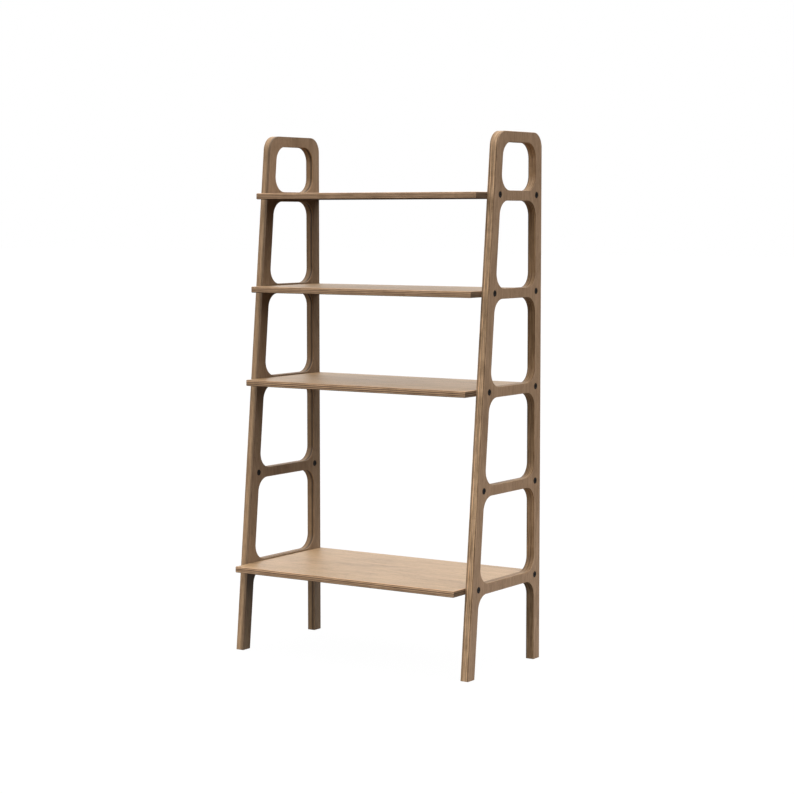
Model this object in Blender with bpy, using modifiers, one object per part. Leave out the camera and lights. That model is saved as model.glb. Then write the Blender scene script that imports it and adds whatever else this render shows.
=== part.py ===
"""Ladder shelf: two ladder-shaped plywood side panels with four shelves between them.

Frame: metres, +Z up. X = 0 is the middle of the shelf, +X its right-hand side,
-Y its front (the open side, where the shelves reach out), +Y the side that
stands against a wall, and Z = 0 the floor.  The origin is the middle of the
bounding box's base.

Each side panel is one flat board, cut out like a ladder: an upright rear leg, a
leaning front leg, a top rail and five rungs.  The shelves butt against the
panels' inner faces at rungs 1, 2, 3 and 5 (counted from the top).  At each
shelf end two connector bolts run through the panel into barrel nuts that sit in
blind holes drilled from below the shelf.  Rung 4 carries no shelf, and there
the same bolts close into sleeve nuts, so both faces end in a flush head.
"""

import math

import bmesh
import bpy
from mathutils import Matrix, Vector

# ---------------------------------------------------------------- dimensions
WIDTH = 0.900            # over the outer faces of the side panels
PANEL_T = 0.028          # side panel thickness
HEIGHT = 1.6930          # side panel height
PANEL_DEPTH = 0.4415     # side panel depth at the floor
FRONT_LEAN = 0.1002      # how far the front edge goes back per metre of height
FRONT_LEG_W = 0.0380     # front leg, measured square to its edges
REAR_LEG_W = 0.0375      # rear leg
TOP_RAIL_H = 0.0336      # rail over the top opening
RUNG_H = 0.0316          # rung height
RUNG_5_Z = 0.2747        # middle height of the lowest rung
RUNG_PITCH = 0.3047      # from one rung to the next
TOP_FRONT_R = 0.0500     # outer corner radii of the panel
TOP_REAR_R = 0.0480
OPENING_R = 0.0490       # corner radius of the openings

SHELF_T = 0.0200         # shelf thickness
SHELF_RISE = 0.0108      # shelf top above the middle of its rung
SHELF_OVERHANG = 0.0646  # how far a shelf reaches past the panels' front edge
BOTTOM_OVERHANG = 0.0676 # the same at the bottom shelf
SHELF_EDGE = 0.0012      # eased shelf edges
SHELF_RUNGS = (1, 2, 3, 5)
RUNGS = (1, 2, 3, 4, 5)

GAP = 0.0003             # between touching pieces

BOLT_INSET_FRONT = 0.0345   # bolt axis behind the panel's front edge
BOLT_INSET_REAR = 0.0315    # bolt axis in front of the panel's rear edge
BOLT_RISE = 0.0025          # bolt axis above the middle of the rung
BOLT_D = 0.0080
BOLT_LENGTH = 0.0600        # under the head, at the shelves
SHORT_BOLT_LENGTH = 0.0180  # under the head, at the rung without a shelf
HEAD_D = 0.0200
HEAD_T = 0.0020
HEX_AF = 0.0050             # across the flats of the key socket
HEX_DEPTH = 0.0024

BORE_D = BOLT_D + 2 * GAP
RECESS_D = HEAD_D + 2 * GAP
RECESS_DEPTH = HEAD_T + 2 * GAP   # the head ends one gap below the face

NUT_D = 0.0120              # barrel nut
NUT_LENGTH = 0.0140
NUT_INSET = 0.0300          # barrel nut axis from the shelf's end
NUT_HOLE_DEPTH = 0.0170     # blind hole from the underside of the shelf
END_BORE_DEPTH = 0.0380     # bolt hole in the shelf's end

SLEEVE_D = 0.0110           # sleeve nut's barrel
SLEEVE_LENGTH = 0.0140      # under its flange
SLEEVE_BORE_DEPTH = 0.0105

ARC_STEPS = 8               # segments in a quarter-round corner

# ---------------------------------------------------------- derived positions
INNER_X = WIDTH / 2 - PANEL_T
LEAN_RATIO = math.sqrt(1 + FRONT_LEAN ** 2)
RUNG_Z = {n: RUNG_5_Z + (5 - n) * RUNG_PITCH for n in RUNGS}
SHELF_TOP = {n: RUNG_Z[n] + SHELF_RISE for n in SHELF_RUNGS}


def front_edge_from_rear(z):
    """Distance of the panels' leaning front edge from their rear edge."""
    return PANEL_DEPTH - FRONT_LEAN * z


def shelf_depth(rung):
    over = BOTTOM_OVERHANG if rung == 5 else SHELF_OVERHANG
    return front_edge_from_rear(SHELF_TOP[rung]) + over


DEPTH = max(shelf_depth(n) for n in SHELF_RUNGS)
REAR_Y = DEPTH / 2


def front_y(z):
    return REAR_Y - front_edge_from_rear(z)


# ------------------------------------------------------------------- helpers
def clear_scene():
    for ob in list(bpy.data.objects):
        bpy.data.objects.remove(ob, do_unlink=True)


def new_collection(name):
    coll = bpy.data.collections.new(name)
    bpy.context.scene.collection.children.link(coll)
    return coll


def principled(name, colour, roughness, metallic):
    mat = bpy.data.materials.new(name)
    mat.use_nodes = True
    shader = mat.node_tree.nodes["Principled BSDF"]
    shader.inputs["Base Color"].default_value = (*colour, 1.0)
    shader.inputs["Roughness"].default_value = roughness
    shader.inputs["Metallic"].default_value = metallic
    mat.diffuse_color = (*colour, 1.0)
    return mat


def give_material(ob, finish):
    """Give the object a material of its own, also where it shares its mesh."""
    colour, roughness, metallic = finish
    if not ob.data.materials:
        ob.data.materials.append(None)
    ob.material_slots[0].link = 'OBJECT'
    ob.material_slots[0].material = principled(ob.name + "_finish", colour,
                                               roughness, metallic)


def rounded_outline(corners):
    """Closed outline through corners (u, v, radius), with true tangent arcs."""
    out = []
    count = len(corners)
    for i in range(count):
        before = Vector(corners[i - 1][:2])
        here = Vector(corners[i][:2])
        after = Vector(corners[(i + 1) % count][:2])
        radius = corners[i][2]
        if radius <= 0:
            out.append((here.x, here.y))
            continue
        to_before = (before - here).normalized()
        to_after = (after - here).normalized()
        angle = to_before.angle(to_after)
        run = radius / math.tan(angle / 2)
        centre = here + (to_before + to_after).normalized() * (radius / math.sin(angle / 2))
        start = here + to_before * run - centre
        end = here + to_after * run - centre
        a0 = math.atan2(start.y, start.x)
        turn = (math.atan2(end.y, end.x) - a0 + math.pi) % (2 * math.pi) - math.pi
        for k in range(ARC_STEPS + 1):
            a = a0 + turn * k / ARC_STEPS
            out.append((centre.x + radius * math.cos(a), centre.y + radius * math.sin(a)))
    return out


def evaluated_mesh(ob, name):
    """The object's mesh with its modifiers applied, welded."""
    depsgraph = bpy.context.evaluated_depsgraph_get()
    mesh = bpy.data.meshes.new_from_object(ob.evaluated_get(depsgraph))
    mesh.name = name
    bm = bmesh.new()
    bm.from_mesh(mesh)
    bmesh.ops.remove_doubles(bm, verts=bm.verts, dist=1e-6)
    bm.to_mesh(mesh)
    bm.free()
    return mesh


def smooth_round(mesh, degrees=35):
    mesh.shade_smooth()
    mesh.set_sharp_from_angle(angle=math.radians(degrees))


def plate_from_outlines(name, outlines, thickness, coll):
    """Flat board in the YZ plane from an outer outline and its openings."""
    curve = bpy.data.curves.new(name + "_outline", 'CURVE')
    curve.dimensions = '2D'
    curve.fill_mode = 'BOTH'
    curve.extrude = thickness / 2
    for points in outlines:
        spline = curve.splines.new('POLY')
        spline.points.add(len(points) - 1)
        for point, (u, v) in zip(spline.points, points):
            point.co = (u, v, 0.0, 1.0)
        spline.use_cyclic_u = True
    guide = bpy.data.objects.new(name + "_outline", curve)
    coll.objects.link(guide)
    guide.rotation_euler = (math.pi / 2, 0.0, math.pi / 2)  # u -> +Y, v -> +Z
    bpy.context.view_layer.update()
    mesh = evaluated_mesh(guide, name)
    board = bpy.data.objects.new(name, mesh)
    board.matrix_world = guide.matrix_world
    coll.objects.link(board)
    bpy.data.objects.remove(guide, do_unlink=True)
    return board


def turned(name, profile, steps, coll):
    """Solid of revolution about local Z from a profile of (radius, z) points."""
    mesh = bpy.data.meshes.new(name)
    bm = bmesh.new()
    verts = [bm.verts.new((r, 0.0, z)) for r, z in profile]
    for a, b in zip(verts, verts[1:]):
        bm.edges.new((a, b))
    bm.to_mesh(mesh)
    bm.free()
    ob = bpy.data.objects.new(name, mesh)
    coll.objects.link(ob)
    screw = ob.modifiers.new("Turn", 'SCREW')
    screw.axis = 'Z'
    screw.angle = 2 * math.pi
    screw.steps = steps
    screw.render_steps = steps
    screw.use_merge_vertices = True
    screw.merge_threshold = 1e-5
    return ob


def as_cutter(ob):
    ob.hide_render = True
    ob.display_type = 'WIRE'
    return ob


def round_cutter(name, places, radius, z_low, z_high, sides, coll):
    """Cutter of separate rods, one at each matrix, from z_low to z_high."""
    mesh = bpy.data.meshes.new(name)
    bm = bmesh.new()
    for place in places:
        middle = Matrix.Translation((0.0, 0.0, (z_low + z_high) / 2))
        bmesh.ops.create_cone(bm, cap_ends=True, segments=sides, radius1=radius,
                              radius2=radius, depth=z_high - z_low,
                              matrix=place @ middle)
    bm.to_mesh(mesh)
    bm.free()
    ob = bpy.data.objects.new(name, mesh)
    coll.objects.link(ob)
    return as_cutter(ob)


def cut(ob, cutter):
    boolean = ob.modifiers.new("Cut " + cutter.name, 'BOOLEAN')
    boolean.operation = 'DIFFERENCE'
    boolean.solver = 'EXACT'
    boolean.object = cutter
    return boolean


def finished_master(ob, name):
    """Take the master's evaluated mesh, for pieces of the same kind to share."""
    bpy.context.view_layer.update()
    mesh = evaluated_mesh(ob, name)
    smooth_round(mesh)
    bpy.data.objects.remove(ob, do_unlink=True)
    return mesh


def outward(side):
    """Axes of a fastener: local +Z points out of the panel on that side."""
    return Matrix.Rotation(side * math.pi / 2, 4, 'Y')


def place(name, mesh, matrix, coll, parent, finish):
    ob = bpy.data.objects.new(name, mesh)
    coll.objects.link(ob)
    ob.parent = parent
    ob.matrix_world = matrix
    give_material(ob, finish)
    return ob


# ------------------------------------------------------------------ finishes
PANEL_FINISH = ((0.245, 0.165, 0.110), 0.55, 0.0)
SHELF_FINISH = ((0.520, 0.385, 0.265), 0.50, 0.0)
BOLT_FINISH = ((0.022, 0.020, 0.019), 0.42, 0.6)
NUT_FINISH = ((0.480, 0.460, 0.420), 0.35, 1.0)


# -------------------------------------------------------------- the outlines
def panel_outlines():
    rear = REAR_Y
    leg = FRONT_LEG_W * LEAN_RATIO          # front leg's level width

    def inner_y(z):
        return front_y(z) + leg

    arch_top = RUNG_Z[5] - RUNG_H / 2
    outer = rounded_outline([
        (front_y(0.0), 0.0, 0.0),
        (inner_y(0.0), 0.0, 0.0),
        (inner_y(arch_top), arch_top, OPENING_R),
        (rear - REAR_LEG_W, arch_top, OPENING_R),
        (rear - REAR_LEG_W, 0.0, 0.0),
        (rear, 0.0, 0.0),
        (rear, HEIGHT, TOP_REAR_R),
        (front_y(HEIGHT), HEIGHT, TOP_FRONT_R),
    ])
    openings = []
    tops = [HEIGHT - TOP_RAIL_H] + [RUNG_Z[n] - RUNG_H / 2 for n in (1, 2, 3, 4)]
    bases = [RUNG_Z[n] + RUNG_H / 2 for n in RUNGS]
    for top, base in zip(tops, bases):
        openings.append(rounded_outline([
            (inner_y(base), base, OPENING_R),
            (rear - REAR_LEG_W, base, OPENING_R),
            (rear - REAR_LEG_W, top, OPENING_R),
            (inner_y(top), top, OPENING_R),
        ]))
    return [outer] + openings


def bolt_places():
    """(rung, 'front' or 'rear') -> (y, z) of the bolt's axis."""
    out = {}
    for n in RUNGS:
        z = RUNG_Z[n] + BOLT_RISE
        out[n, "front"] = (front_y(z) + BOLT_INSET_FRONT, z)
        out[n, "rear"] = (REAR_Y - BOLT_INSET_REAR, z)
    return out


# ----------------------------------------------------------------- the model
def build():
    clear_scene()
    parts = new_collection("ladder_shelf")
    cutters = new_collection("cutters")
    base = bpy.data.objects.new("ladder_shelf_origin", None)
    base.empty_display_size = 0.1
    parts.objects.link(base)
    bolts = bolt_places()

    # ---- side panels, with recessed bolt holes from the outer face
    outlines = panel_outlines()
    for side, label in ((-1, "left"), (1, "right")):
        panel = plate_from_outlines(label + "_side_panel", outlines, PANEL_T, parts)
        panel.parent = base
        panel.location.x = side * (INNER_X + PANEL_T / 2)
        give_material(panel, PANEL_FINISH)
        outer_x = side * WIDTH / 2
        inner_x = side * INNER_X
        to_out = outward(side)
        on_face = [Matrix.Translation((outer_x, y, z)) @ to_out
                   for y, z in bolts.values()]
        plain = [Matrix.Translation((outer_x, *bolts[n, end])) @ to_out
                 for n in SHELF_RUNGS for end in ("front", "rear")]
        wide = [Matrix.Translation((outer_x, *bolts[4, end])) @ to_out
                for end in ("front", "rear")]
        inside = [Matrix.Translation((inner_x, *bolts[4, end])) @ to_out
                  for end in ("front", "rear")]
        cut(panel, round_cutter(label + "_recesses", on_face, RECESS_D / 2,
                                -RECESS_DEPTH, 0.005, 16, cutters))
        cut(panel, round_cutter(label + "_bolt_bores", plain, BORE_D / 2,
                                -PANEL_T - 0.005, 0.005, 12, cutters))
        cut(panel, round_cutter(label + "_sleeve_bores", wide, SLEEVE_D / 2 + GAP,
                                -PANEL_T - 0.005, 0.005, 12, cutters))
        cut(panel, round_cutter(label + "_inner_recesses", inside, RECESS_D / 2,
                                -0.005, RECESS_DEPTH, 16, cutters))

    # ---- shelves, with end bores and blind holes from below
    shelf_names = {1: "top_shelf", 2: "second_shelf", 3: "third_shelf", 5: "bottom_shelf"}
    length = 2 * (INNER_X - GAP)
    for n in SHELF_RUNGS:
        depth = shelf_depth(n)
        bpy.ops.mesh.primitive_cube_add(
            size=1.0, location=(0.0, REAR_Y - depth / 2, SHELF_TOP[n] - SHELF_T / 2))
        shelf = bpy.context.object
        shelf.name = shelf_names[n]
        shelf.data.name = shelf_names[n]
        shelf.data.transform(Matrix.Diagonal((length, depth, SHELF_T, 1.0)))
        for coll in list(shelf.users_collection):
            coll.objects.unlink(shelf)
        parts.objects.link(shelf)
        shelf.parent = base
        give_material(shelf, SHELF_FINISH)
        ease = shelf.modifiers.new("Eased edges", 'BEVEL')
        ease.width = SHELF_EDGE
        ease.segments = 1
        ends, holes = [], []
        for end in ("front", "rear"):
            y, z = bolts[n, end]
            for side in (-1, 1):
                ends.append(Matrix.Translation((side * length / 2, y, z)) @ outward(side))
                holes.append(Matrix.Translation(
                    (side * (length / 2 - NUT_INSET), y, SHELF_TOP[n] - SHELF_T)))
        cut(shelf, round_cutter(shelf.name + "_end_bores", ends, BORE_D / 2,
                                -END_BORE_DEPTH, 0.005, 12, cutters))
        cut(shelf, round_cutter(shelf.name + "_nut_holes", holes, NUT_D / 2 + GAP,
                                -0.005, NUT_HOLE_DEPTH, 12, cutters))

    # ---- fasteners: one master of each kind, shared by its copies
    def key_socket(name, top):
        mesh = bpy.data.meshes.new(name)
        bm = bmesh.new()
        bmesh.ops.create_cone(bm, cap_ends=True, segments=6,
                              radius1=HEX_AF / math.sqrt(3), radius2=HEX_AF / math.sqrt(3),
                              depth=HEX_DEPTH + 0.002,
                              matrix=Matrix.Translation((0, 0, top + (0.002 - HEX_DEPTH) / 2)))
        bm.to_mesh(mesh)
        bm.free()
        ob = bpy.data.objects.new(name, mesh)
        cutters.objects.link(ob)
        return as_cutter(ob)

    def bolt_mesh(name, reach):
        master = turned(name, [(0.0, 0.0), (HEAD_D / 2, 0.0), (HEAD_D / 2, -HEAD_T),
                               (BOLT_D / 2, -HEAD_T), (BOLT_D / 2, -HEAD_T - reach),
                               (0.0, -HEAD_T - reach)], 16, parts)
        cut(master, key_socket(name + "_socket", 0.0))
        return finished_master(master, name)

    long_bolt = bolt_mesh("connector_bolt", BOLT_LENGTH)
    short_bolt = bolt_mesh("short_connector_bolt", SHORT_BOLT_LENGTH)

    # sleeve nut: flange up (+Z), threaded bore open at the far end
    sleeve_end = -HEAD_T - SLEEVE_LENGTH
    bore_end = sleeve_end + SLEEVE_BORE_DEPTH
    sleeve = turned("sleeve_nut", [
        (0.0, 0.0), (HEAD_D / 2, 0.0), (HEAD_D / 2, -HEAD_T), (SLEEVE_D / 2, -HEAD_T),
        (SLEEVE_D / 2, sleeve_end), (BORE_D / 2, sleeve_end), (BORE_D / 2, bore_end),
        (0.0, bore_end)], 16, parts)
    cut(sleeve, key_socket("sleeve_socket", 0.0))
    sleeve_nut = finished_master(sleeve, "sleeve_nut")

    # barrel nut: upright rod with a threaded cross bore at the bolt's height
    nut_low = NUT_HOLE_DEPTH - GAP - NUT_LENGTH      # above the shelf's underside
    axis_up = BOLT_RISE - SHELF_RISE + SHELF_T       # bolt axis above the underside
    rod = turned("barrel_nut", [(0.0, nut_low + NUT_LENGTH), (NUT_D / 2, nut_low + NUT_LENGTH),
                                (NUT_D / 2, nut_low), (0.0, nut_low)], 12, parts)
    cut(rod, round_cutter("barrel_nut_bore",
                          [Matrix.Translation((0, 0, axis_up)) @ outward(1)],
                          BORE_D / 2, -0.02, 0.02, 12, cutters))
    barrel_nut = finished_master(rod, "barrel_nut")

    for side, label in ((-1, "left"), (1, "right")):
        head_x = side * (WIDTH / 2 - GAP)
        for n in RUNGS:
            for end in ("front", "rear"):
                y, z = bolts[n, end]
                stem = f"{label}_rung{n}_{end}_"
                bolt = long_bolt if n in SHELF_RUNGS else short_bolt
                place(stem + "bolt", bolt,
                      Matrix.Translation((head_x, y, z)) @ outward(side),
                      parts, base, BOLT_FINISH)
                if n in SHELF_RUNGS:
                    place(stem + "barrel_nut", barrel_nut,
                          Matrix.Translation((side * (length / 2 - NUT_INSET), y,
                                              SHELF_TOP[n] - SHELF_T)),
                          parts, base, NUT_FINISH)
                else:
                    place(stem + "sleeve_nut", sleeve_nut,
                          Matrix.Translation((side * (INNER_X + GAP), y, z)) @ outward(-side),
                          parts, base, BOLT_FINISH)


build()
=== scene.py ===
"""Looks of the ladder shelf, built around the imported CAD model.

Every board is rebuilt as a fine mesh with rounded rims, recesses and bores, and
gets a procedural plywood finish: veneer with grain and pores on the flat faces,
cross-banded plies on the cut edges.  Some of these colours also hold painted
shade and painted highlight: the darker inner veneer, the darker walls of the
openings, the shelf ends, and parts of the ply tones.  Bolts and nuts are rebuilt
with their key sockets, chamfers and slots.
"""
import math

import bmesh
import bpy
from mathutils import Matrix, Vector


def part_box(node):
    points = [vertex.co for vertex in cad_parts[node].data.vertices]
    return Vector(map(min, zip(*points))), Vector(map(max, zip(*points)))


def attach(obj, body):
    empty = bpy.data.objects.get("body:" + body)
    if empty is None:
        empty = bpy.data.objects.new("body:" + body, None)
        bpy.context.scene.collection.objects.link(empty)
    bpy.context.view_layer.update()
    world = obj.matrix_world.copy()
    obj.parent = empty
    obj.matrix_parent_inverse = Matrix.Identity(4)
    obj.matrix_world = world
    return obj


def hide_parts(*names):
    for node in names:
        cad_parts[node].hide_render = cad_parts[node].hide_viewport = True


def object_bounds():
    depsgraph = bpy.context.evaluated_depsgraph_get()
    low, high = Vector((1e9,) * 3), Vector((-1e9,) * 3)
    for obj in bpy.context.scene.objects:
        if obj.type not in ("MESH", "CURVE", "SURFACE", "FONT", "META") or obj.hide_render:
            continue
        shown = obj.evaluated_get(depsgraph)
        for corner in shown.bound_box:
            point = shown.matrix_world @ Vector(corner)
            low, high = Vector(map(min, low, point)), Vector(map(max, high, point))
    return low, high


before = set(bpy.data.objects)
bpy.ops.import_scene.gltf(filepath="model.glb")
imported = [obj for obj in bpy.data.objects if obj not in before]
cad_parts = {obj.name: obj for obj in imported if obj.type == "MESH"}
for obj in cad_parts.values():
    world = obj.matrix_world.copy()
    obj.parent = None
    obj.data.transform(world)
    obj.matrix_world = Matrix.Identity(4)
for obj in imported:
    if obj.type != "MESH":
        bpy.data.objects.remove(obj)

cad_lo, cad_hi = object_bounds()

# ------------------------------------------------------------ design numbers
# the same driving dimensions as the CAD model
WIDTH = 0.900
PANEL_T = 0.028
HEIGHT = 1.6930
PANEL_DEPTH = 0.4415
FRONT_LEAN = 0.1002
FRONT_LEG_W = 0.0380
REAR_LEG_W = 0.0375
TOP_RAIL_H = 0.0336
RUNG_H = 0.0316
RUNG_5_Z = 0.2747
RUNG_PITCH = 0.3047
TOP_FRONT_R = 0.0500
TOP_REAR_R = 0.0480
OPENING_R = 0.0490
SHELF_T = 0.0200
SHELF_RISE = 0.0108
GAP = 0.0003
BOLT_INSET_FRONT = 0.0345
BOLT_INSET_REAR = 0.0315
BOLT_RISE = 0.0025
BOLT_D = 0.0080
BOLT_LENGTH = 0.0600
SHORT_BOLT_LENGTH = 0.0180
HEAD_D = 0.0200
HEAD_T = 0.0020
HEX_AF = 0.0050
HEX_DEPTH = 0.0024
BORE_D = BOLT_D + 2 * GAP
RECESS_D = HEAD_D + 2 * GAP
RECESS_DEPTH = HEAD_T + 2 * GAP
NUT_D = 0.0120
NUT_LENGTH = 0.0140
NUT_INSET = 0.0300
NUT_HOLE_DEPTH = 0.0170
END_BORE_DEPTH = 0.0380
SLEEVE_D = 0.0110
SLEEVE_LENGTH = 0.0140
SLEEVE_BORE_DEPTH = 0.0105

RUNGS = (1, 2, 3, 4, 5)
SHELF_NAMES = {1: "top_shelf", 2: "second_shelf", 3: "third_shelf", 5: "bottom_shelf"}
INNER_X = WIDTH / 2 - PANEL_T
REAR_Y = cad_hi.y
RUNG_Z = {n: RUNG_5_Z + (5 - n) * RUNG_PITCH for n in RUNGS}

PANEL_RIM = 0.0010       # eased edges of the panels
SHELF_RIM = 0.0030       # eased edges of the shelves
SHELF_CORNER = 0.0020    # upright corners of the shelves


def front_y(z):
    return REAR_Y - (PANEL_DEPTH - FRONT_LEAN * z)


def bolt_axis(rung, end):
    z = RUNG_Z[rung] + BOLT_RISE
    y = front_y(z) + BOLT_INSET_FRONT if end == "front" else REAR_Y - BOLT_INSET_REAR
    return y, z


# ------------------------------------------------------------- mesh building
def outline(corners, big=22, small=4):
    """Closed loop through (u, v, radius) corners: points and their outward
    mitres, which point out of the material (to the right of the travel)."""
    pts, mit = [], []
    n = len(corners)
    for i in range(n):
        a = Vector(corners[i - 1][:2])
        b = Vector(corners[i][:2])
        c = Vector(corners[(i + 1) % n][:2])
        r = corners[i][2]
        to_a, to_c = (a - b).normalized(), (c - b).normalized()
        angle = to_a.angle(to_c)
        run = r / math.tan(angle / 2)
        centre = b + (to_a + to_c).normalized() * (r / math.sin(angle / 2))
        s, e = b + to_a * run - centre, b + to_c * run - centre
        a0 = math.atan2(s.y, s.x)
        turn = (math.atan2(e.y, e.x) - a0 + math.pi) % (2 * math.pi) - math.pi
        sign = 1.0 if turn > 0 else -1.0     # a left turn bulges to the right
        steps = big if r > 0.01 else small
        for k in range(steps + 1):
            t = a0 + turn * k / steps
            d = Vector((math.cos(t), math.sin(t)))
            pts.append(centre + d * r)
            mit.append(d * sign)
    return pts, mit


def circle(u, v, r, n=40):
    """Round hole: runs clockwise, so its mitres point to its centre."""
    pts, mit = [], []
    for k in range(n):
        t = -2 * math.pi * k / n
        d = Vector((math.cos(t), math.sin(t)))
        pts.append(Vector((u, v)) + d * r)
        mit.append(-d)
    return pts, mit


def rim_rings(t, r, m):
    """(inset, w) rings of an edge rounded at both faces, top to bottom."""
    rings = []
    for k in range(m + 1):
        a = math.pi / 2 * k / m
        rings.append((r * (1 - math.sin(a)), t / 2 - r * (1 - math.cos(a))))
    for k in range(m + 1):
        a = math.pi / 2 * (1 - k / m)
        rings.append((r * (1 - math.sin(a)), -t / 2 + r * (1 - math.cos(a))))
    return rings


def plate(name, loops, place, mats):
    """Board from loops of (points, mitres, rings, how, material).  how is
    'through', or 'blind_bottom' for a hole that opens in the lower face only.
    The upper face gets material 0, the lower face material 1, and each cut
    surface the material of its loop, which may be a function of the place."""
    bm = bmesh.new()
    top, bottom = [], []
    for pts, mit, rings, how, cut_mat in loops:
        made = []
        for inset, w in rings:
            made.append([bm.verts.new((*(p - m * inset), w)) for p, m in zip(pts, mit)])
        for hi, lo in zip(made, made[1:]):
            for i in range(len(pts)):
                j = (i + 1) % len(pts)
                f = bm.faces.new((hi[i], hi[j], lo[j], lo[i]))
                f.material_index = (cut_mat((pts[i] + pts[j]) / 2) if callable(cut_mat)
                                    else cut_mat)
        def ring_edges(ring):
            return [bm.edges.get((ring[i], ring[(i + 1) % len(ring)]))
                    for i in range(len(ring))]
        if how == 'through':
            top += ring_edges(made[0])
            bottom += ring_edges(made[-1])
        else:
            bottom += ring_edges(made[-1])
            cap = bm.faces.new(made[0])
            cap.material_index = cut_mat
    for edges, up in ((top, 1.0), (bottom, -1.0)):
        got = bmesh.ops.triangle_fill(bm, use_beauty=True, use_dissolve=False,
                                      edges=edges, normal=(0, 0, up))
        for f in got["geom"]:
            if isinstance(f, bmesh.types.BMFace):
                f.material_index = 0 if up > 0 else 1
    bmesh.ops.recalc_face_normals(bm, faces=bm.faces)
    mesh = bpy.data.meshes.new(name)
    for mat in mats:
        mesh.materials.append(mat)
    bm.transform(place)
    bm.to_mesh(mesh)
    bm.free()
    mesh.update()
    ob = bpy.data.objects.new(name, mesh)
    bpy.context.scene.collection.objects.link(ob)
    return ob


def finish_normals(ob, degrees=50):
    ob.data.shade_smooth()
    ob.data.set_sharp_from_angle(angle=math.radians(degrees))
    mod = ob.modifiers.new("Weighted normals", 'WEIGHTED_NORMAL')
    mod.keep_sharp = True
    mod.weight = 50


def rods(name, places, radius, lo, hi, mat=None, sides=36):
    mesh = bpy.data.meshes.new(name)
    if mat is not None:
        mesh.materials.append(mat)
    bm = bmesh.new()
    for m in places:
        bmesh.ops.create_cone(bm, cap_ends=True, segments=sides, radius1=radius,
                              radius2=radius, depth=hi - lo,
                              matrix=m @ Matrix.Translation((0, 0, (lo + hi) / 2)))
    bm.to_mesh(mesh)
    bm.free()
    ob = bpy.data.objects.new(name, mesh)
    bpy.context.scene.collection.objects.link(ob)
    return ob


def carve(ob, cutter):
    """Boolean difference, applied; the cutter is removed."""
    mod = ob.modifiers.new("Carve", 'BOOLEAN')
    mod.operation = 'DIFFERENCE'
    mod.solver = 'EXACT'
    mod.material_mode = 'TRANSFER'
    mod.object = cutter
    bpy.context.view_layer.update()
    deps = bpy.context.evaluated_depsgraph_get()
    mesh = bpy.data.meshes.new_from_object(ob.evaluated_get(deps))
    ob.modifiers.clear()
    old = ob.data
    mesh.name = old.name + "_cut"
    ob.data = mesh
    bpy.data.meshes.remove(old)
    bpy.data.objects.remove(cutter, do_unlink=True)


def ringed(name, rings, n=36):
    """Closed turned body from rings of (radius or function of angle, z).
    A radius of 0 is a pole."""
    bm = bmesh.new()
    made = []
    for r, z in rings:
        if r == 0:
            made.append([bm.verts.new((0, 0, z))])
            continue
        ring = []
        for k in range(n):
            t = 2 * math.pi * k / n
            rr = r(t) if callable(r) else r
            ring.append(bm.verts.new((rr * math.cos(t), rr * math.sin(t), z)))
        made.append(ring)
    for a, b in zip(made, made[1:]):
        for k in range(n):
            j = (k + 1) % n
            if len(a) == 1:
                bm.faces.new((a[0], b[k], b[j]))
            elif len(b) == 1:
                bm.faces.new((a[j], a[k], b[0]))
            else:
                bm.faces.new((a[j], a[k], b[k], b[j]))
    bmesh.ops.recalc_face_normals(bm, faces=bm.faces)
    mesh = bpy.data.meshes.new(name)
    bm.to_mesh(mesh)
    bm.free()
    mesh.shade_smooth()
    mesh.set_sharp_from_angle(angle=math.radians(38))
    return mesh


def hexagon(across_flats):
    apothem = across_flats / 2

    def radius(t):
        return apothem / math.cos((t % (math.pi / 3)) - math.pi / 6)
    return radius


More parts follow.
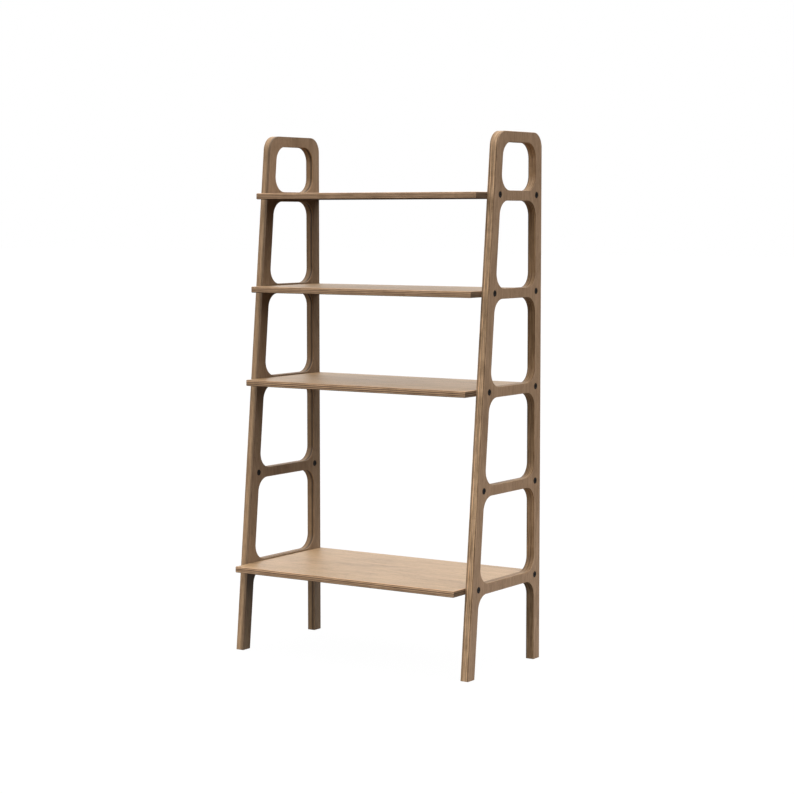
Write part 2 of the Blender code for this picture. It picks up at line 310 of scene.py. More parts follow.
# ----------------------------------------------------------------- materials
class Nodes:
    """Small helper to write node trees as expressions."""

    def __init__(self, tree):
        self.tree = tree

    def new(self, kind, **props):
        node = self.tree.nodes.new(kind)
        for key, value in props.items():
            setattr(node, key, value)
        return node

    def put(self, socket, value):
        if isinstance(value, bpy.types.NodeSocket):
            self.tree.links.new(value, socket)
        elif value is not None:
            socket.default_value = value

    def math(self, op, a, b=None, c=None, clamp=False):
        node = self.new('ShaderNodeMath', operation=op, use_clamp=clamp)
        for i, v in enumerate((a, b, c)):
            self.put(node.inputs[i], v)
        return node.outputs[0]

    def vmath(self, op, a, b=None):
        node = self.new('ShaderNodeVectorMath', operation=op)
        self.put(node.inputs[0], a)
        if b is not None:
            self.put(node.inputs[1], b)
        return node.outputs['Value'] if op in ('DOT_PRODUCT', 'LENGTH') else node.outputs[0]

    def scale(self, vec, factors, offset=(0, 0, 0)):
        node = self.new('ShaderNodeMapping')
        self.put(node.inputs['Vector'], vec)
        node.inputs['Scale'].default_value = factors
        node.inputs['Location'].default_value = offset
        return node.outputs[0]

    def noise(self, vec, scale=1.0, detail=2.0, rough=0.5, distort=0.0, lac=2.0):
        node = self.new('ShaderNodeTexNoise')
        node.noise_dimensions = '3D'
        self.put(node.inputs['Vector'], vec)
        node.inputs['Scale'].default_value = scale
        node.inputs['Detail'].default_value = detail
        node.inputs['Roughness'].default_value = rough
        node.inputs['Lacunarity'].default_value = lac
        node.inputs['Distortion'].default_value = distort
        return node.outputs['Fac' if 'Fac' in node.outputs else 0]

    def remap(self, v, a, b, c=0.0, d=1.0, smooth=False):
        node = self.new('ShaderNodeMapRange')
        node.interpolation_type = 'SMOOTHSTEP' if smooth else 'LINEAR'
        node.clamp = True
        self.put(node.inputs[0], v)
        for i, x in zip((1, 2, 3, 4), (a, b, c, d)):
            self.put(node.inputs[i], x)
        return node.outputs[0]

    def mix(self, fac, a, b, blend='MIX'):
        node = self.new('ShaderNodeMix', data_type='RGBA', blend_type=blend)
        self.put(node.inputs['Factor'], fac)
        ins = [s for s in node.inputs if s.type == 'RGBA']
        self.put(ins[0], a)
        self.put(ins[1], b)
        return [s for s in node.outputs if s.type == 'RGBA'][0]

    def mixf(self, fac, a, b):
        node = self.new('ShaderNodeMix', data_type='FLOAT')
        self.put(node.inputs['Factor'], fac)
        ins = [s for s in node.inputs if s.type == 'VALUE' and s.name in ('A', 'B')]
        self.put(ins[0], a)
        self.put(ins[1], b)
        return [s for s in node.outputs if s.type == 'VALUE'][0]

    def ramp(self, fac, stops, interp='LINEAR'):
        node = self.new('ShaderNodeValToRGB')
        node.color_ramp.interpolation = interp
        els = node.color_ramp.elements
        while len(els) > 1:
            els.remove(els[-1])
        els[0].position = stops[0][0]
        els[0].color = (*stops[0][1], 1.0)
        for pos, col in stops[1:]:
            e = els.new(pos)
            e.color = (*col, 1.0)
        self.put(node.inputs[0], fac)
        return node.outputs[0]

    def bump(self, height, strength, distance):
        node = self.new('ShaderNodeBump')
        node.inputs['Strength'].default_value = strength
        node.inputs['Distance'].default_value = distance
        self.put(node.inputs['Height'], height)
        return node.outputs[0]


def new_material(name):
    mat = bpy.data.materials.new(name)
    mat.use_nodes = True
    tree = mat.node_tree
    for n in list(tree.nodes):
        tree.nodes.remove(n)
    out = tree.nodes.new('ShaderNodeOutputMaterial')
    shader = tree.nodes.new('ShaderNodeBsdfPrincipled')
    tree.links.new(shader.outputs[0], out.inputs['Surface'])
    return mat, Nodes(tree), shader


def grey(v):
    return (v, v, v, 1.0)


# stained veneer and cut edges, mean linear colours; the inner veneer, the opening walls and the
# shelf ends are darkened with painted shade
OUTER = (0.325, 0.207, 0.127)
# inner faces: the veneer darker than the outer faces, partly painted shade from the shelves over
# them
INNER_SHADED = (0.248, 0.164, 0.102)
SHELF = (0.408, 0.252, 0.124)
BOTTOM_SHELF = (0.445, 0.283, 0.150)
EDGE = (0.410, 0.258, 0.142)
# walls of the openings, leg arch and bolt recesses: the edge colour darkened as painted shade in
# the hollows
WALL_SHADED = (0.262, 0.160, 0.082)
SHELF_EDGE = (0.368, 0.228, 0.130)
# shelf end faces: darker end grain, and partly painted shade where the ends meet the panels
END_GRAIN_SHADE_TONE = 0.35
PORE = (0.110, 0.066, 0.038)

# tone across the plies, as (place, tone): panels from -X to +X, shelves from the
# underside up.  The outermost layers are the face veneers.  Besides the plies, the
# tables hold painted shade and painted highlight, as noted at each.
# panel edges: on the left panel the tones fall towards the inner face (+X), painted shade from
# the shelves over the steps of the plies
PANEL_PLIES_AND_SHADE = {
    "left": ((0.0, 1.15), (0.06, 1.12), (0.075, 0.84), (0.17, 0.86), (0.185, 1.03),
             (0.28, 1.05), (0.295, 0.90), (0.38, 0.92), (0.40, 1.08), (0.50, 1.04),
             (0.515, 0.84), (0.60, 0.80), (0.615, 0.88), (0.70, 0.80), (0.715, 0.56),
             (0.80, 0.50), (0.815, 0.58), (0.91, 0.52), (0.93, 0.42), (1.0, 0.46)),
    "right": ((0.0, 1.25), (0.05, 1.20), (0.065, 0.74), (0.16, 0.78), (0.175, 0.96),
              (0.27, 1.02), (0.285, 1.28), (0.37, 1.26), (0.385, 0.92), (0.48, 0.94),
              (0.495, 1.08), (0.58, 1.06), (0.595, 0.90), (0.69, 0.92), (0.705, 1.06),
              (0.80, 1.04), (0.815, 0.88), (0.90, 0.80), (0.915, 0.50), (0.96, 0.55),
              (0.975, 0.90), (1.0, 0.95)),
}
# walls of the openings: the tones darken near the inner face, painted shade inside the openings
# over the steps of the plies
OPENING_PLIES_AND_SHADE = {
    "left": ((0.0, 1.20), (0.05, 1.15), (0.065, 0.92), (0.17, 0.95), (0.185, 1.10),
             (0.28, 1.12), (0.295, 0.96), (0.38, 0.98), (0.40, 1.12), (0.50, 1.08),
             (0.515, 0.86), (0.60, 0.82), (0.615, 0.76), (0.70, 0.66), (0.715, 0.48),
             (0.82, 0.46), (0.835, 0.74), (0.92, 0.78), (0.935, 0.95), (1.0, 1.0)),
    "right": ((0.0, 0.62), (0.045, 0.60), (0.06, 0.78), (0.16, 0.84), (0.175, 1.06),
              (0.27, 1.08), (0.285, 0.90), (0.37, 0.92), (0.385, 1.08), (0.48, 1.06),
              (0.495, 0.86), (0.58, 0.88), (0.595, 1.10), (0.69, 1.08), (0.705, 0.92),
              (0.80, 0.96), (0.815, 1.20), (0.90, 1.16), (0.915, 0.66), (0.95, 0.64),
              (0.965, 1.10), (1.0, 1.15)),
}
# shelf edges: the lowest layer is darker and the top layers lighter, partly painted shade and
# painted highlight on the rounded rims
SHELF_PLIES_SHADE_HIGHLIGHT = {
    1: ((0.0, 0.60), (0.08, 0.64), (0.10, 1.02), (0.23, 1.04), (0.25, 0.86), (0.38, 0.88),
        (0.40, 1.08), (0.53, 1.06), (0.55, 0.90), (0.68, 0.90), (0.70, 1.16), (0.83, 1.18),
        (0.85, 0.78), (0.90, 0.80), (0.92, 1.30), (1.0, 1.30)),
    2: ((0.0, 0.56), (0.08, 0.60), (0.10, 0.98), (0.23, 1.00), (0.25, 0.82), (0.38, 0.84),
        (0.40, 1.06), (0.53, 1.06), (0.55, 0.88), (0.68, 0.92), (0.70, 1.22), (0.83, 1.22),
        (0.85, 0.80), (0.90, 0.82), (0.92, 1.32), (1.0, 1.32)),
    3: ((0.0, 0.54), (0.08, 0.58), (0.10, 1.00), (0.23, 1.02), (0.25, 0.72), (0.38, 0.72),
        (0.40, 1.18), (0.53, 1.16), (0.55, 0.78), (0.68, 0.80), (0.70, 1.34), (0.83, 1.30),
        (0.85, 0.74), (0.90, 0.76), (0.92, 1.25), (1.0, 1.25)),
    5: ((0.0, 0.60), (0.08, 0.64), (0.10, 1.00), (0.23, 1.02), (0.25, 0.84), (0.38, 0.86),
        (0.40, 1.06), (0.53, 1.04), (0.55, 0.76), (0.68, 0.78), (0.70, 1.36), (0.83, 1.32),
        (0.85, 0.72), (0.90, 0.74), (0.92, 1.35), (1.0, 1.35)),
}


def veneer(name, grain, seed, colour_mean):
    """Flat face: grain is the axis (0 x, 1 y, 2 z) along the fibres.  Growth
    bands, streaks and open pores, all in metres."""
    mat, n, shader = new_material(name)
    coord = n.new('ShaderNodeTexCoord').outputs['Object']

    def stretched(along_scale, across_scale, off=0.0):
        s = [across_scale] * 3
        s[grain] = along_scale
        o = [seed * 1.7 + off, seed * 2.3 - off, seed * 0.9 + off * 0.5]
        return n.scale(coord, tuple(s), tuple(o))

    # growth bands wander slowly over the sheet
    bands_in = n.noise(stretched(0.9, 7.0), 1.0, 2.0, 0.45, 0.2)
    rings = n.math('MULTIPLY', bands_in, 16.0)
    saw = n.math('FRACT', rings)
    band = n.math('MULTIPLY', n.remap(saw, 0.0, 0.75, 0.0, 1.0, True),
                  n.remap(saw, 0.82, 1.0, 1.0, 0.0, True))
    streak = n.noise(stretched(9.0, 210.0, 5.0), 1.0, 4.0, 0.60)
    dash = n.noise(stretched(34.0, 420.0, 9.0), 1.0, 3.0, 0.58)
    blotch = n.noise(stretched(5.0, 19.0, 12.0), 1.0, 3.0, 0.55)
    fine = n.noise(stretched(60.0, 1300.0, 21.0), 1.0, 2.0, 0.5)
    tonev = n.math('MULTIPLY', band, 0.10)
    for value, lo, hi, weight in ((streak, 0.32, 0.68, 0.26), (dash, 0.34, 0.66, 0.34),
                                  (blotch, 0.32, 0.68, 0.22), (fine, 0.32, 0.68, 0.12)):
        tonev = n.math('ADD', tonev, n.math('MULTIPLY', n.remap(value, lo, hi), weight))
    r, g, b = colour_mean
    colour = n.ramp(tonev, [(0.10, (r * 0.60, g * 0.56, b * 0.51)),
                            (0.50, (r * 1.02, g * 1.02, b * 1.01)),
                            (0.90, (r * 1.38, g * 1.42, b * 1.48))])
    # open pores: short dark dashes, denser in the early wood
    pores = n.noise(stretched(90.0, 1100.0, 17.0), 1.0, 1.0, 0.5)
    level = n.mixf(band, 0.640, 0.690)
    pore = n.remap(n.math('SUBTRACT', pores, level), 0.0, 0.045, 0.0, 1.0, True)
    colour = n.mix(n.math('MULTIPLY', pore, 0.60), colour, (*PORE, 1.0))
    n.put(shader.inputs['Base Color'], colour)
    rough = n.math('ADD', 0.42, n.math('MULTIPLY', n.remap(streak, 0.3, 0.7), 0.07))
    rough = n.math('ADD', rough, n.math('MULTIPLY', pore, 0.18))
    n.put(shader.inputs['Roughness'], rough)
    height = n.math('SUBTRACT', n.math('MULTIPLY', streak, 0.35), pore)
    n.put(shader.inputs['Normal'], n.bump(height, 0.35, 0.00012))
    shader.inputs['Specular IOR Level'].default_value = 0.5
    shader.inputs['IOR'].default_value = 1.48
    return mat


def ply_edge(name, thick_axis, start, thickness, tones, seed, colour_mean,
             streaks=1.0, spread=1.9, end_axis=None, end_grain_shade_tone=1.0):
    """Cut edge of a board: plies across thick_axis from start.  tones gives the
    tone at places from 0 to 1 through the thickness; steps in it are the plies,
    and some tables also hold painted shade and painted highlight.  spread sets how
    far they stand apart.  Fibres are drawn out along the edge; streaks sets how
    strongly they show."""
    mat, n, shader = new_material(name)
    coord = n.new('ShaderNodeTexCoord').outputs['Object']
    xyz = n.new('ShaderNodeSeparateXYZ')
    n.put(xyz.inputs[0], coord)
    nsep = n.new('ShaderNodeSeparateXYZ')
    n.put(nsep.inputs[0], n.new('ShaderNodeNewGeometry').outputs['Normal'])
    # depth through the board, a little wavy along the edge
    wob = n.noise(n.scale(coord, (14.0, 14.0, 14.0), (seed, seed * 2, seed * 3)), 1.0, 2.0)
    depth = n.math('MULTIPLY', n.math('SUBTRACT', xyz.outputs[thick_axis], start),
                   1.0 / thickness)
    depth = n.math('ADD', depth, n.math('MULTIPLY', n.math('SUBTRACT', wob, 0.5), 0.008 * spread))
    # the stain takes differently ply by ply, and the tables also hold painted shade: spread the
    # tones about their local mean
    stops = []
    for place, t in tones:
        near = [u for q, u in tones if abs(q - place) < 0.22]
        mean = sum(near) / len(near)
        t = max(0.12, mean + (t - mean) * spread)
        stops.append((place, (t, t, t)))
    tone = n.ramp(depth, stops)
    # fibres along the edge, and dots where it cuts them
    s = [45.0, 45.0, 45.0]
    s[thick_axis] = 1100.0
    lines = n.noise(n.scale(coord, tuple(s), (seed * 3.1, seed, -seed)), 1.0, 3.0, 0.6)
    s2 = [11.0, 11.0, 11.0]
    s2[thick_axis] = 330.0
    flow = n.noise(n.scale(coord, tuple(s2), (-seed, seed * 1.3, seed)), 1.0, 3.0, 0.55)
    dots = n.noise(n.scale(coord, (700.0, 700.0, 700.0), (seed, 0, seed)), 1.0, 2.0, 0.6)
    patch = n.noise(n.scale(coord, (26.0, 26.0, 26.0), (0, seed, 0)), 1.0, 3.0, 0.6)
    v = n.math('ADD', n.math('MULTIPLY', n.remap(lines, 0.34, 0.66), 0.24),
               n.math('MULTIPLY', n.remap(flow, 0.36, 0.64), 0.46))
    v = n.math('ADD', v, n.math('MULTIPLY', n.remap(dots, 0.35, 0.65), 0.14))
    v = n.math('ADD', v, n.math('MULTIPLY', n.remap(patch, 0.34, 0.66), 0.16))
    r, g, b = colour_mean
    colour = n.ramp(v, [(0.12, tuple(c * (1 - k * streaks)
                                     for c, k in ((r, 0.60), (g, 0.64), (b, 0.69)))),
                        (0.50, (r, g, b)),
                        (0.88, tuple(c * (1 + k * streaks)
                                     for c, k in ((r, 0.62), (g, 0.70), (b, 0.86))))])
    colour = n.mix(1.0, colour, tone, 'MULTIPLY')
    # end faces along end_axis are darkened: end grain, and partly painted shade where shelf ends
    # meet the panels
    if end_axis is not None:
        ne = n.math('MULTIPLY', nsep.outputs[end_axis], nsep.outputs[end_axis])
        k = n.remap(ne, 0.3, 0.9, 0.0, 1.0, True)
        colour = n.mix(k, colour, n.mix(1.0, colour, grey(end_grain_shade_tone), 'MULTIPLY'))
    n.put(shader.inputs['Base Color'], colour)
    n.put(shader.inputs['Roughness'], n.math('ADD', 0.56, n.math('MULTIPLY', dots, 0.12)))
    n.put(shader.inputs['Normal'], n.bump(lines, 0.25, 0.0001))
    shader.inputs['Specular IOR Level'].default_value = 0.35
    shader.inputs['IOR'].default_value = 1.48
    return mat


def black_steel(name, seed):
    mat, n, shader = new_material(name)
    coord = n.new('ShaderNodeTexCoord').outputs['Object']
    speck = n.noise(n.scale(coord, (900.0, 900.0, 900.0), (seed, seed, seed)), 1.0, 3.0, 0.6)
    cloud = n.noise(n.scale(coord, (160.0, 160.0, 160.0), (seed, 0, 0)), 1.0, 2.0, 0.5)
    colour = n.ramp(n.remap(speck, 0.3, 0.7), [(0.0, (0.013, 0.012, 0.012)),
                                               (1.0, (0.034, 0.031, 0.029))])
    n.put(shader.inputs['Base Color'], colour)
    n.put(shader.inputs['Roughness'], n.math('ADD', 0.40, n.math('MULTIPLY', cloud, 0.22)))
    shader.inputs['Metallic'].default_value = 0.55
    n.put(shader.inputs['Normal'], n.bump(speck, 0.12, 0.00005))
    return mat


def zinc_steel(name, seed):
    mat, n, shader = new_material(name)
    coord = n.new('ShaderNodeTexCoord').outputs['Object']
    brushed = n.noise(n.scale(coord, (2600.0, 2600.0, 240.0), (seed, seed, 0)), 1.0, 2.0, 0.5)
    cloud = n.noise(n.scale(coord, (220.0, 220.0, 220.0), (seed, 0, 0)), 1.0, 3.0, 0.5)
    colour = n.ramp(n.remap(cloud, 0.3, 0.7), [(0.0, (0.46, 0.44, 0.39)),
                                               (1.0, (0.60, 0.58, 0.53))])
    n.put(shader.inputs['Base Color'], colour)
    n.put(shader.inputs['Roughness'], n.math('ADD', 0.26, n.math('MULTIPLY', brushed, 0.22)))
    shader.inputs['Metallic'].default_value = 1.0
    n.put(shader.inputs['Normal'], n.bump(brushed, 0.15, 0.00004))
    return mat


# -------------------------------------------------------------- side panels
def build_panels():
    leg = FRONT_LEG_W * math.sqrt(1 + FRONT_LEAN ** 2)
    rear = REAR_Y

    def inner_y(z):
        return front_y(z) + leg

    arch = RUNG_Z[5] - RUNG_H / 2
    foot = 0.0012
    # board plane: u = Y, v = Z, w = X; the outer loop runs counter-clockwise
    outer = outline([
        (front_y(0.0), 0.0, foot), (inner_y(0.0), 0.0, foot),
        (inner_y(arch), arch, OPENING_R), (rear - REAR_LEG_W, arch, OPENING_R),
        (rear - REAR_LEG_W, 0.0, foot), (rear, 0.0, foot),
        (rear, HEIGHT, TOP_REAR_R), (front_y(HEIGHT), HEIGHT, TOP_FRONT_R)])
    holes = []
    tops = [HEIGHT - TOP_RAIL_H] + [RUNG_Z[k] - RUNG_H / 2 for k in (1, 2, 3, 4)]
    bases = [RUNG_Z[k] + RUNG_H / 2 for k in RUNGS]
    for top, base in zip(tops, bases):
        holes.append(outline([
            (inner_y(base), base, OPENING_R), (inner_y(top), top, OPENING_R),
            (rear - REAR_LEG_W, top, OPENING_R), (rear - REAR_LEG_W, base, OPENING_R)]))

    def outer_mat(p):
        """Outer edges, or the sides and roof of the leg arch, which get the darker wall plies
        with painted shade.
        """
        under = p[1] < arch + 0.001 and p[1] > 0.0015
        return 3 if under and inner_y(p[1]) - 0.002 < p[0] < rear - REAR_LEG_W + 0.002 else 2

    rim = rim_rings(PANEL_T, PANEL_RIM, 4)
    lip = 0.00025
    half = PANEL_T / 2
    boards = []
    for side, label in ((-1, "left"), (1, "right")):
        loops = [(*outer, rim, 'through', outer_mat)]
        loops += [(*h, rim, 'through', 3) for h in holes]
        out, inn = side * half, -side * half           # w of the outer and inner face
        for rung in RUNGS:
            for end in ("front", "rear"):
                y, z = bolt_axis(rung, end)
                big = RECESS_D / 2
                bore = BORE_D / 2 if rung != 4 else SLEEVE_D / 2 + GAP
                step = big - bore
                outer_part = [(lip, out), (0.0, out - side * lip),
                              (0.0, out - side * RECESS_DEPTH),
                              (-step, out - side * RECESS_DEPTH)]
                if rung != 4:
                    inner_part = [(-step, inn + side * lip), (-step + lip, inn)]
                else:
                    inner_part = [(-step, inn + side * RECESS_DEPTH),
                                  (0.0, inn + side * RECESS_DEPTH),
                                  (0.0, inn + side * lip), (lip, inn)]
                rings = outer_part + inner_part
                if side < 0:
                    rings = rings[::-1]                # always from +w to -w
                loops.append((*circle(y, z, big), rings, 'through', 3))
        # columns: u -> +Y, v -> +Z, w -> +X
        place = Matrix(((0, 0, 1, side * (INNER_X + half)), (1, 0, 0, 0),
                        (0, 1, 0, 0), (0, 0, 0, 1)))
        lo = side * (INNER_X + half) - half
        outer_face = veneer(f"{label}_panel_outer_veneer", 2, 11.0 + side * 4.0, OUTER)
        # inner faces take the darker veneer, partly painted shade from the shelves
        shaded_inner_face = veneer(f"{label}_panel_inner_veneer_shaded", 2, 15.0 + side * 3.0, INNER_SHADED)
        coarse = 1.05 if side > 0 else 0.60
        # edge plies; on the left panel their tones darken towards the inner face as painted shade
        edge = ply_edge(f"{label}_panel_plies", 0, lo, PANEL_T, PANEL_PLIES_AND_SHADE[label],
                        2.0 + side, EDGE, coarse)
        # walls of openings, arch and recesses: darker plies, painted shade in the hollows
        shaded_walls = ply_edge(f"{label}_opening_plies_shaded", 0, lo, PANEL_T, OPENING_PLIES_AND_SHADE[label],
                         7.0 + side, WALL_SHADED, coarse * 0.85)
        faces = (outer_face, shaded_inner_face) if side > 0 else (shaded_inner_face, outer_face)
        board = plate(f"{label}_panel_board", loops, place, (*faces, edge, shaded_walls))
        finish_normals(board)
        boards.append((side, label, board))
    return boards


# ------------------------------------------------------------------ shelves
def build_shelves():
    out = {}
    for rung, node in SHELF_NAMES.items():
        lo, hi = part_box(node)
        t = hi.z - lo.z
        mid = (lo + hi) / 2
        hx, hy = (hi.x - lo.x) / 2, (hi.y - lo.y) / 2
        c = SHELF_CORNER + 0.0003
        loops = [(*outline([(-hx, -hy, c), (hx, -hy, c), (hx, hy, c), (-hx, hy, c)], small=6),
                  rim_rings(t, SHELF_RIM, 6), 'through', 2)]
        ends = []
        for end in ("front", "rear"):
            y, z = bolt_axis(rung, end)
            for side in (-1, 1):
                lip = 0.00025
                r = NUT_D / 2 + GAP
                loops.append((*circle(side * (hx - NUT_INSET), y - mid.y, r),
                              [(0.0, -t / 2 + NUT_HOLE_DEPTH), (0.0, -t / 2 + lip),
                               (lip, -t / 2)], 'blind_bottom', 2))
                ends.append(Matrix.Translation((side * hx, y - mid.y, z - mid.z))
                            @ Matrix.Rotation(side * math.pi / 2, 4, 'Y'))
        face = veneer(f"{node}_veneer", 0, 23.0 + 3.0 * rung,
                      BOTTOM_SHELF if rung == 5 else SHELF)
        # shelf edge plies, with painted shade on the lowest layer and painted highlight on the
        # top layers
        edge = ply_edge(f"{node}_plies", 2, -t / 2, t, SHELF_PLIES_SHADE_HIGHLIGHT[rung], 5.0 + rung,
                        SHELF_EDGE, 0.55, 2.5, end_axis=0, end_grain_shade_tone=END_GRAIN_SHADE_TONE)
        board = plate(f"{node}_board", loops, Matrix.Identity(4), (face, face, edge))
        carve(board, rods("end_bores", ends, BORE_D / 2, -END_BORE_DEPTH, 0.005, edge))
        finish_normals(board)
        board.location = mid
        out[rung] = (node, board, t)
    return out


# ---------------------------------------------------------------- fasteners
def bolt_body(name, reach):
    hexr = hexagon(HEX_AF)
    r, s = HEAD_D / 2, BOLT_D / 2
    return ringed(name, [
        (0, -HEX_DEPTH - 0.0005), (hexr, -HEX_DEPTH), (hexr, -0.00035),
        (lambda t: max(hexr(t), HEX_AF / 2 * 1.19), -0.0000),
        (r - 0.0011, 0.0), (r - 0.0006, -0.00005), (r - 0.00025, -0.00018),
        (r - 0.00006, -0.0004), (r, -0.00065), (r, -HEAD_T + 0.0003),
        (r - 0.0002, -HEAD_T + 0.00008), (r - 0.0005, -HEAD_T), (s + 0.0003, -HEAD_T),
        (s, -HEAD_T - 0.0003), (s, -HEAD_T - reach + 0.0008),
        (s - 0.0007, -HEAD_T - reach), (0, -HEAD_T - reach)])


def sleeve_body(name):
    hexr = hexagon(HEX_AF)
    r, s = HEAD_D / 2, SLEEVE_D / 2
    end = -HEAD_T - SLEEVE_LENGTH
    inner = BORE_D / 2
    return ringed(name, [
        (0, -HEX_DEPTH - 0.0005), (hexr, -HEX_DEPTH), (hexr, -0.00035),
        (lambda t: max(hexr(t), HEX_AF / 2 * 1.19), -0.0000),
        (r - 0.0011, 0.0), (r - 0.0006, -0.00005), (r - 0.00025, -0.00018),
        (r - 0.00006, -0.0004), (r, -0.00065), (r, -HEAD_T + 0.0003),
        (r - 0.0002, -HEAD_T + 0.00008), (r - 0.0005, -HEAD_T), (s + 0.0002, -HEAD_T),
        (s, -HEAD_T - 0.0002), (s, end + 0.0004), (s - 0.0004, end),
        (inner + 0.0004, end), (inner, end + 0.0004),
        (inner, end + SLEEVE_BORE_DEPTH - 0.0006), (0, end + SLEEVE_BORE_DEPTH)])


def barrel_body(name):
    low = NUT_HOLE_DEPTH - GAP - NUT_LENGTH
    axis_up = BOLT_RISE - SHELF_RISE + SHELF_T
    r, c = NUT_D / 2, 0.0005
    mesh = ringed(name, [(0, low + NUT_LENGTH), (r - c, low + NUT_LENGTH),
                         (r, low + NUT_LENGTH - c), (r, low + c), (r - c, low), (0, low)])
    ob = bpy.data.objects.new(name, mesh)
    bpy.context.scene.collection.objects.link(ob)
    carve(ob, rods("nut_bore", [Matrix.Translation((0, 0, axis_up))
                                @ Matrix.Rotation(math.pi / 2, 4, 'Y')], BORE_D / 2, -0.02, 0.02))
    slot = bpy.data.meshes.new("nut_slot")
    bm = bmesh.new()
    bmesh.ops.create_cube(bm, size=1.0)
    bm.transform(Matrix.Translation((0, 0, low)) @ Matrix.Diagonal((0.03, 0.0012, 0.0024, 1.0)))
    bm.to_mesh(slot)
    bm.free()
    cutter = bpy.data.objects.new("nut_slot", slot)
    bpy.context.scene.collection.objects.link(cutter)
    carve(ob, cutter)
    out = ob.data
    out.shade_smooth()
    out.set_sharp_from_angle(angle=math.radians(38))
    bpy.data.objects.remove(ob, do_unlink=True)
    return out


def build_fasteners(shelves):
    long_bolt = bolt_body("connector_bolt_mesh", BOLT_LENGTH)
    short_bolt = bolt_body("short_bolt_mesh", SHORT_BOLT_LENGTH)
    sleeve = sleeve_body("sleeve_nut_mesh")
    barrel = barrel_body("barrel_nut_mesh")
    black = black_steel("black_steel", 3.0)
    zinc = zinc_steel("zinc_steel", 5.0)
    for mesh, mat in ((long_bolt, black), (short_bolt, black), (sleeve, black), (barrel, zinc)):
        mesh.materials.clear()
        mesh.materials.append(mat)
    turn = 0.0
    for side, label in ((-1, "left"), (1, "right")):
        for rung in RUNGS:
            for end in ("front", "rear"):
                y, z = bolt_axis(rung, end)
                stem = f"{label}_rung{rung}_{end}_"
                turn += 0.37
                spin = Matrix.Rotation(turn, 4, 'Z')
                put(stem + "bolt", long_bolt if rung != 4 else short_bolt,
                    Matrix.Translation((side * (WIDTH / 2 - GAP), y, z))
                    @ Matrix.Rotation(side * math.pi / 2, 4, 'Y') @ spin)
                if rung == 4:
                    put(stem + "sleeve_nut", sleeve,
                        Matrix.Translation((side * (INNER_X + GAP), y, z))
                        @ Matrix.Rotation(-side * math.pi / 2, 4, 'Y') @ spin)
                else:
                    lo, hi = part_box(SHELF_NAMES[rung])
                    put(stem + "barrel_nut", barrel,
                        Matrix.Translation((side * (hi.x - NUT_INSET), y, lo.z)))


def put(node, mesh, matrix):
    ob = bpy.data.objects.new(node + "_piece", mesh)
    bpy.context.scene.collection.objects.link(ob)
    ob.matrix_world = matrix
    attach(ob, "root")
    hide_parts(node)
    return ob


# -------------------------------------------------------------------- stage
# radiance of the studio round the object, by elevation in degrees; each row runs
# round the horizon in steps of 45 degrees from +X towards +Y
STUDIO = (
    (-20.0, (0.0, 0.0, 0.15, 0.0, 0.0, 0.0, 0.0, 0.0)),
    (-2.5, (0.0,) * 8),
    (9.0, (0.40, 0.0, 0.0, 1.0, 0.45, 0.05, 0.0, 0.0)),
    (22.5, (4.70, 0.20, 0.20, 2.40, 1.50, 2.40, 2.15, 0.40)),
    (40.0, (2.45, 1.40, 0.95, 2.55, 1.25, 1.25, 2.60, 1.75)),
    (60.0, (1.80, 1.90, 2.10, 1.80, 1.35, 1.35, 1.35, 1.55)),
    (80.0, (1.75,) * 8),
)
BOUNCE = 0.30            # of the floor close to the object
BOUNCE_R = 1.9


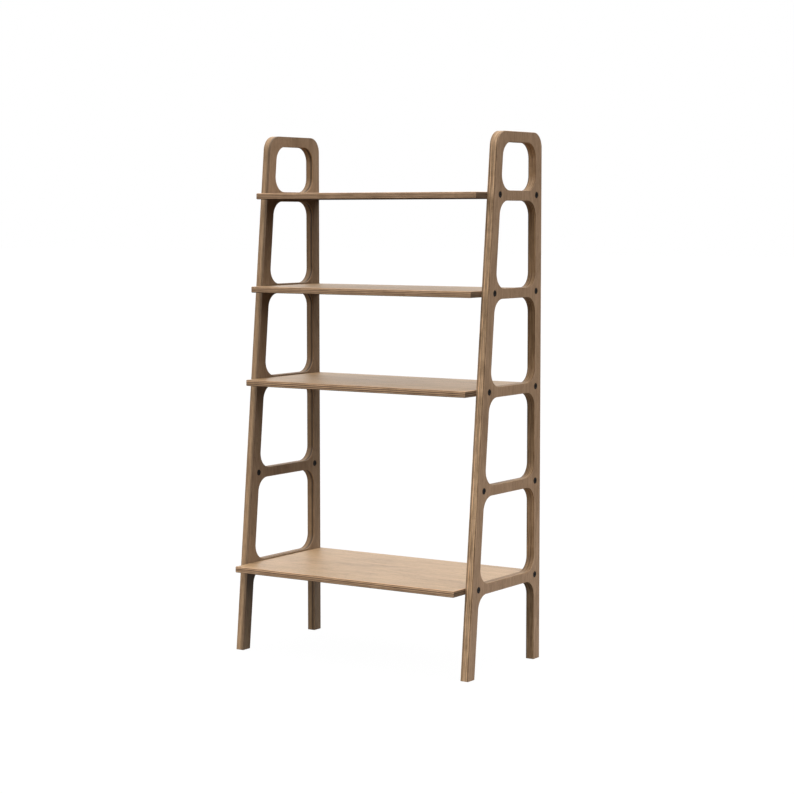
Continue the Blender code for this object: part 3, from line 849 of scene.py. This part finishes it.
def build_stage():
    scene = bpy.context.scene
    scene.view_settings.view_transform = 'Standard'
    scene.view_settings.look = 'None'
    mesh = bpy.data.meshes.new("floor")
    bm = bmesh.new()
    bmesh.ops.create_grid(bm, x_segments=1, y_segments=1, size=60.0)
    bm.to_mesh(mesh)
    bm.free()
    floor = bpy.data.objects.new("floor", mesh)
    scene.collection.objects.link(floor)
    mat, n, shader = new_material("pale_floor")
    shader.inputs['Base Color'].default_value = (0.03, 0.03, 0.03, 1.0)
    shader.inputs['Roughness'].default_value = 1.0
    shader.inputs['Specular IOR Level'].default_value = 0.0
    shader.inputs['Emission Color'].default_value = (1.0, 1.0, 1.0, 1.0)
    shader.inputs['Emission Strength'].default_value = 0.975
    mesh.materials.append(mat)
    # the pale floor is seen and takes shadows, but throws no light back up
    floor.visible_diffuse = False
    floor.visible_glossy = False
    floor.visible_shadow = False

    # light that the floor round the object throws back, from a disc just below it
    disc = bpy.data.meshes.new("bounce")
    bm = bmesh.new()
    bmesh.ops.create_circle(bm, cap_ends=True, segments=64, radius=BOUNCE_R)
    bm.to_mesh(disc)
    bm.free()
    bounce = bpy.data.objects.new("bounce_light", disc)
    bounce.location = (0.0, 0.0, -0.002)
    scene.collection.objects.link(bounce)
    mat, n, shader = new_material("bounce_light")
    shader.inputs['Base Color'].default_value = (0.0, 0.0, 0.0, 1.0)
    shader.inputs['Emission Color'].default_value = (1.0, 1.0, 1.0, 1.0)
    place = n.new('ShaderNodeTexCoord').outputs['Object']
    # the floor right under the shelf lies in its shade
    lit = n.remap(n.vmath('LENGTH', place), 0.25, 0.75, 0.0, BOUNCE, True)
    n.put(shader.inputs['Emission Strength'], lit)
    disc.materials.append(mat)
    bounce.visible_camera = False

    # the studio: softboxes and dark gaps as a smooth map over the directions;
    # the camera sees plain white all round
    world = bpy.data.worlds.new("studio")
    scene.world = world
    world.use_nodes = True
    tree = world.node_tree
    for node in list(tree.nodes):
        tree.nodes.remove(node)
    n = Nodes(tree)
    out = tree.nodes.new('ShaderNodeOutputWorld')
    bg = tree.nodes.new('ShaderNodeBackground')
    tree.links.new(bg.outputs[0], out.inputs['Surface'])
    sep = n.new('ShaderNodeSeparateXYZ')
    n.put(sep.inputs[0], n.new('ShaderNodeTexCoord').outputs['Generated'])
    x, y, z = sep.outputs
    turn = n.math('MULTIPLY', n.math('ARCTAN2', y, x), 0.5 / math.pi)
    turn = n.math('FRACT', n.math('ADD', turn, 1.0))     # 0 at +X, 0.25 at +Y
    elevation = n.math('MULTIPLY', n.math('ARCSINE', z), 180.0 / math.pi)
    total = None
    last = None
    for degrees, row in STUDIO:
        ring = n.ramp(turn, [(k / 8, (row[k % 8] / 3,) * 3) for k in range(9)])
        if total is None:
            total = ring
        else:
            total = n.mix(n.remap(elevation, last, degrees, 0.0, 1.0, True), total, ring)
        last = degrees
    seen = n.new('ShaderNodeLightPath').outputs['Is Camera Ray']
    n.put(bg.inputs['Color'], n.mix(seen, total, (1 / 3, 1 / 3, 1 / 3, 1.0)))
    bg.inputs['Strength'].default_value = 3.0


def build_camera():
    cam_data = bpy.data.cameras.new("photo_camera")
    cam = bpy.data.objects.new("photo_camera", cam_data)
    bpy.context.scene.collection.objects.link(cam)
    yaw, pitch, roll = 0.58446, 0.08631, -0.0005
    d = Vector((-math.sin(yaw) * math.cos(pitch), math.cos(yaw) * math.cos(pitch),
                -math.sin(pitch)))
    r0 = Vector((math.cos(yaw), math.sin(yaw), 0.0))
    u0 = r0.cross(d)
    r = r0 * math.cos(roll) + u0 * math.sin(roll)
    u = u0 * math.cos(roll) - r0 * math.sin(roll)
    m = Matrix((r, u, -d)).transposed().to_4x4()
    m.translation = Vector((3.79033, -5.88592 + REAR_Y, 1.43394))
    cam.matrix_world = m
    cam_data.sensor_width = 36.0
    cam_data.lens = 2106.43 / 794.0 * 36.0
    cam_data.clip_start = 0.1
    cam_data.clip_end = 200.0
    bpy.context.scene.camera = cam


# ------------------------------------------------------------------ assembly
def main():
    build_camera()
    for side, label, board in build_panels():
        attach(board, "root")
        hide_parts(f"{label}_side_panel")
    shelves = build_shelves()
    for rung, (node, board, t) in shelves.items():
        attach(board, "root")
        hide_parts(node)
    build_fasteners(shelves)
    build_stage()


main()
